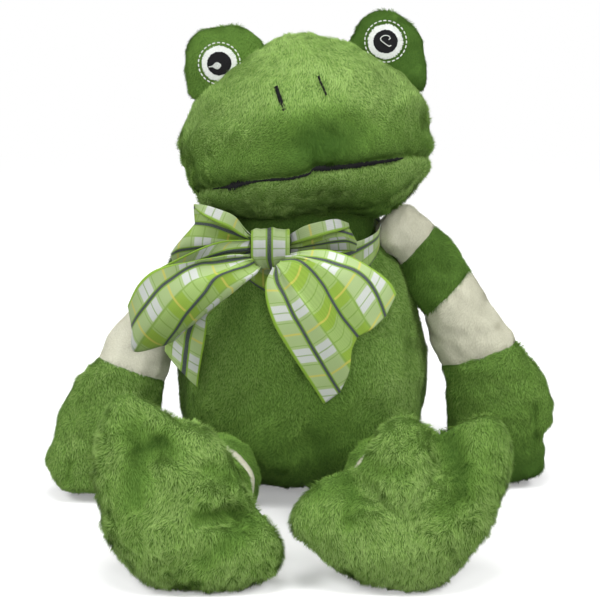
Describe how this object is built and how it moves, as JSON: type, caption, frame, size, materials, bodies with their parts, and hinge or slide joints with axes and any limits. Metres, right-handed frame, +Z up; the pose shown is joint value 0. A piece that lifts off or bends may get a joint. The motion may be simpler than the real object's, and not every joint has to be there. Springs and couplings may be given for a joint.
{
  "type": "plush frog",
  "caption": "Sitting plush frog with a turning, nodding head, swinging arms and legs, webbed feet and a plaid ribbon bow at the neck.",
  "frame": {"origin": "middle of the flat face that the body sits on", "axes": "+Z up, the frog faces -Y, +X towards its own left hand"},
  "size_m": [0.2346, 0.1892, 0.2223],
  "materials": {
    "green_plush": "cut pile, matt",
    "cream_plush": "cut pile, matt",
    "white_filling": "loose fibre",
    "pellets": "small plastic pellets",
    "black_thread": "satin stitch",
    "white_thread": "satin stitch",
    "plaid_ribbon": "woven, slight sheen"
  },
  "bodies": {
    "torso": {"body_filling": "white_filling", "body_skin": "green_plush", "ribbon_back_loop_left": "plaid_ribbon", "ribbon_back_loop_right": "plaid_ribbon", "ribbon_knot": "plaid_ribbon", "ribbon_loop_left": "plaid_ribbon", "ribbon_neck_band": "plaid_ribbon", "ribbon_tail_left": "plaid_ribbon", "ribbon_tail_right": "plaid_ribbon", "seat_pellet_pouch": "pellets"},
    "neck": {"neck_wad": "white_filling"},
    "head": {"eye_filling_left": "white_filling", "eye_filling_right": "white_filling", "eye_glint_left": "white_thread", "eye_glint_right": "white_thread", "eye_pouch_left": "green_plush", "eye_pouch_right": "green_plush", "eye_pupil_left": "black_thread", "eye_pupil_right": "black_thread", "eye_white_left": "white_thread", "eye_white_right": "white_thread", "head_chin_skin": "green_plush", "head_crown_skin": "green_plush", "head_filling": "white_filling", "mouth_thread": "black_thread", "nostril_left": "black_thread", "nostril_right": "black_thread"},
    "shoulder_left": {"arm_left_shoulder_wad": "white_filling"},
    "arm_left": {"arm_left_cream_band": "cream_plush", "arm_left_filling": "white_filling", "arm_left_green_band": "green_plush", "arm_left_hand": "green_plush", "arm_left_shoulder_band": "cream_plush"},
    "hip_left": {"leg_left_hip_wad": "white_filling"},
    "leg_left": {"leg_left_cream_band": "cream_plush", "leg_left_filling": "white_filling", "leg_left_shin": "green_plush", "leg_left_thigh": "green_plush"},
    "foot_left": {"foot_left_back": "green_plush", "foot_left_filling": "white_filling", "foot_left_sole": "green_plush"},
    "shoulder_right": {"arm_right_shoulder_wad": "white_filling"},
    "arm_right": {"arm_right_cream_band": "cream_plush", "arm_right_filling": "white_filling", "arm_right_green_band": "green_plush", "arm_right_hand": "green_plush", "arm_right_shoulder_band": "cream_plush"},
    "hip_right": {"leg_right_hip_wad": "white_filling"},
    "leg_right": {"leg_right_cream_band": "cream_plush", "leg_right_filling": "white_filling", "leg_right_shin": "green_plush", "leg_right_thigh": "green_plush"},
    "foot_right": {"foot_right_back": "green_plush", "foot_right_filling": "white_filling", "foot_right_sole": "green_plush"}
  },
  "joints": [
    {"name": "neck_turn", "type": "hinge", "parent": "torso", "child": "neck", "pos_m": [0, -0.002, 0.124], "axis": [0, 0, 1], "range_deg": [-16, 16]},
    {"name": "neck_nod", "type": "hinge", "parent": "neck", "child": "head", "pos_m": [0, -0.002, 0.124], "axis": [1, 0, 0], "range_deg": [-10, 3]},
    {"name": "shoulder_left_swing", "type": "hinge", "parent": "torso", "child": "shoulder_left", "pos_m": [-0.0455, 0, 0.119], "axis": [-1, 0, 0], "range_deg": [-30, 12]},
    {"name": "shoulder_left_lift", "type": "hinge", "parent": "shoulder_left", "child": "arm_left", "pos_m": [-0.0455, 0, 0.119], "axis": [0, 1, 0], "range_deg": [0, 70]},
    {"name": "hip_left_swing", "type": "hinge", "parent": "torso", "child": "hip_left", "pos_m": [-0.0385, -0.054, 0.0225], "axis": [-1, 0, 0], "range_deg": [-3, 33]},
    {"name": "hip_left_spread", "type": "hinge", "parent": "hip_left", "child": "leg_left", "pos_m": [-0.0385, -0.054, 0.0225], "axis": [0, 0, -1], "range_deg": [0, 30]},
    {"name": "ankle_left_tip", "type": "hinge", "parent": "leg_left", "child": "foot_left", "pos_m": [-0.044, -0.099, 0.024], "axis": [1, 0, 0], "range_deg": [-15, 25]},
    {"name": "shoulder_right_swing", "type": "hinge", "parent": "torso", "child": "shoulder_right", "pos_m": [0.0455, 0, 0.119], "axis": [-1, 0, 0], "range_deg": [-30, 90]},
    {"name": "shoulder_right_lift", "type": "hinge", "parent": "shoulder_right", "child": "arm_right", "pos_m": [0.0455, 0, 0.119], "axis": [0, -1, 0], "range_deg": [0, 70]},
    {"name": "hip_right_swing", "type": "hinge", "parent": "torso", "child": "hip_right", "pos_m": [0.0385, -0.054, 0.0225], "axis": [-1, 0, 0], "range_deg": [-3, 35]},
    {"name": "hip_right_spread", "type": "hinge", "parent": "hip_right", "child": "leg_right", "pos_m": [0.0385, -0.054, 0.0225], "axis": [0, 0, 1], "range_deg": [0, 30]},
    {"name": "ankle_right_tip", "type": "hinge", "parent": "leg_right", "child": "foot_right", "pos_m": [0.044, -0.099, 0.024], "axis": [1, 0, 0], "range_deg": [-15, 25]}
  ]
}
